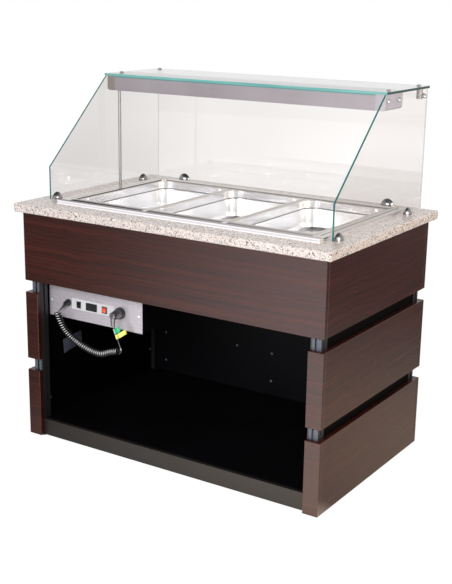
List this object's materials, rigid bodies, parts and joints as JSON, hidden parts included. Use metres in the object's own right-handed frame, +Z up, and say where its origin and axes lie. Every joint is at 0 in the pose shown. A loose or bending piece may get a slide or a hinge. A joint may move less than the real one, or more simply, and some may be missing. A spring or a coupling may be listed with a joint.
{
  "type": "bain marie counter",
  "caption": "Serving counter with a granite top, a heated well of lift-out pans, a glass guard with a light canopy, a wood-clad open cabinet and a control panel with a curly lead.",
  "frame": {"origin": "on the floor, under the middle of the cabinet", "axes": "+X to the operator's right, +Y towards the customers, +Z up; the open side faces -Y"},
  "size_m": [1.28, 0.81, 1.328],
  "materials": {
    "black_panels": "matt black coat on board",
    "black_plastic": "black moulded plastic",
    "brass": "plain brass",
    "canopy_steel": "brushed stainless sheet",
    "chrome": "polished chrome",
    "cord_black": "black shiny cord sheath",
    "fascia": "dark grey coat",
    "granite": "polished pale pinkish-grey granite with dark flecks",
    "green_film": "green film, blank",
    "guard_glass": "clear toughened glass with polished edges",
    "laminate_boards": "dark wenge laminate with fine level grain, satin",
    "lamp": "white coated lamp glass",
    "panel_steel": "satin stainless plate",
    "posts": "natural anodised profile",
    "red_plastic": "clear red plastic",
    "rubber": "black rubber",
    "stainless_steel": "bright stainless steel",
    "white_plastic": "white plastic",
    "yellow_film": "yellow film, blank"
  },
  "bodies": {
    "counter": {"back_lower_board": "laminate_boards", "back_middle_board": "laminate_boards", "back_pane": "guard_glass", "back_panel": "black_panels", "back_upper_board": "laminate_boards", "cabinet_floor": "black_panels", "canopy_end_caps": "canopy_steel", "carcass_rails": "black_panels", "conduit_rod": "chrome", "control_box": "black_panels", "control_panel": "panel_steel", "control_strip": "white_plastic", "corner_connectors": "chrome", "corner_posts": "posts", "curly_cord": "cord_black", "drain_valve": "brass", "front_apron": "laminate_boards", "front_lower_returns": "laminate_boards", "front_middle_returns": "laminate_boards", "gland_lead": "cord_black", "glass_clamps": "chrome", "granite_top": "granite", "green_tag": "green_film", "guard_screws": "chrome", "heating_element": "stainless_steel", "lamp_holders": "white_plastic", "lamp_tube": "lamp", "left_lower_board": "laminate_boards", "left_middle_board": "laminate_boards", "left_pane": "guard_glass", "left_side_panel": "black_panels", "left_upper_board": "laminate_boards", "levelling_feet": "rubber", "light_canopy": "canopy_steel", "mains_plug": "black_plastic", "pan_divider_bars": "stainless_steel", "panel_fittings": "black_plastic", "plinth_fascia": "fascia", "plug_lead": "cord_black", "right_lower_board": "laminate_boards", "right_middle_board": "laminate_boards", "right_pane": "guard_glass", "right_side_panel": "black_panels", "right_upper_board": "laminate_boards", "shelf_pane": "guard_glass", "switch_housings": "black_plastic", "temperature_probe": "stainless_steel", "thermostat_display": "black_plastic", "well_frame": "stainless_steel", "well_jacket": "stainless_steel", "well_tank": "stainless_steel", "yellow_tag": "yellow_film"},
    "left_pan": {"left_pan": "stainless_steel"},
    "middle_pan": {"middle_pan": "stainless_steel"},
    "right_pan": {"right_pan": "stainless_steel"},
    "light_rocker": {"light_rocker": "black_plastic"},
    "main_rocker": {"main_rocker": "red_plastic"},
    "drain_lever": {"drain_lever": "red_plastic"}
  },
  "joints": [
    {"name": "left_pan_lift", "type": "slide", "parent": "counter", "child": "left_pan", "axis": [0, 0, 1], "range_m": [0, 0.13]},
    {"name": "middle_pan_lift", "type": "slide", "parent": "counter", "child": "middle_pan", "axis": [0, 0, 1], "range_m": [0, 0.13]},
    {"name": "right_pan_lift", "type": "slide", "parent": "counter", "child": "right_pan", "axis": [0, 0, 1], "range_m": [0, 0.13]},
    {"name": "light_rocker_tilt", "type": "hinge", "parent": "counter", "child": "light_rocker", "pos_m": [-0.424, -0.31, 0.525], "axis": [-1, 0, 0], "range_deg": [0, 24]},
    {"name": "main_rocker_tilt", "type": "hinge", "parent": "counter", "child": "main_rocker", "pos_m": [-0.305, -0.31, 0.525], "axis": [-1, 0, 0], "range_deg": [0, 24]},
    {"name": "drain_lever_turn", "type": "hinge", "parent": "counter", "child": "drain_lever", "pos_m": [0.25, 0.034, 0.616], "axis": [0, 1, 0], "range_deg": [0, 90]}
  ]
}
